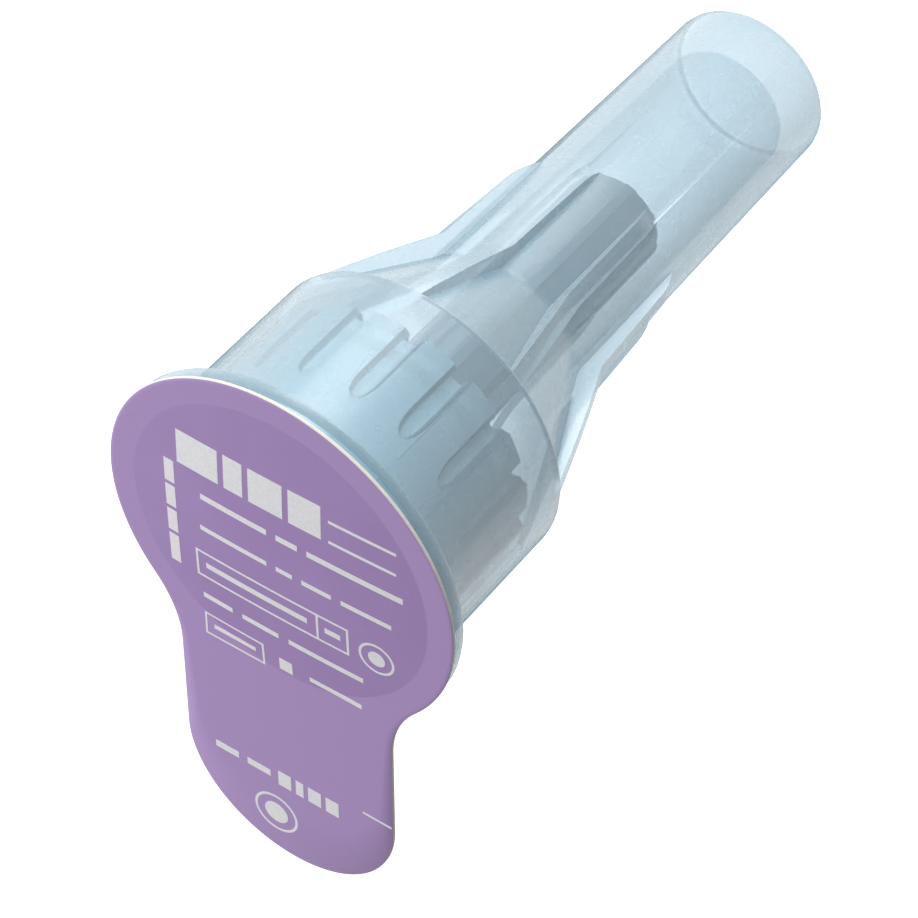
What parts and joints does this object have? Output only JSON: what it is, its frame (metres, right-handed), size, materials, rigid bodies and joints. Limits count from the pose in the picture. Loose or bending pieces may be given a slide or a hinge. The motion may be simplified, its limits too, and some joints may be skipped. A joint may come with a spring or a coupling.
{
  "type": "pen needle",
  "caption": "Pen needle sealed in a clear finned outer cap, with a purple peel-off lid and pull tongue, a grooved hub, a fine double-ended cannula and an inner shield.",
  "frame": {"origin": "centre of the outer cap's flat closed end, which the part stands on", "axes": "+Z along the needle's axis from the closed end to the lid, -Y along the lid's pull tongue"},
  "size_m": [0.0166, 0.0273, 0.0342],
  "materials": {
    "clear_cap": "clear pale blue, smooth",
    "lid_laminate": "printed purple laminate, satin, white underneath",
    "hub_plastic": "milky pale blue, smooth",
    "needle_steel": "bright drawn steel",
    "glue": "clear cured glue",
    "shield_plastic": "milky pale blue, smooth"
  },
  "bodies": {
    "sealed_cap": {"outer_cap": "clear_cap", "peel_tab": "lid_laminate", "needle_hub": "hub_plastic", "cannula": "needle_steel", "adhesive_bead": "glue"},
    "shield": {"inner_shield": "shield_plastic"}
  },
  "joints": [
    {"name": "shield_slide", "type": "slide", "parent": "sealed_cap", "child": "shield", "axis": [0, 0, -1], "range_m": [0, 0.0078]}
  ]
}
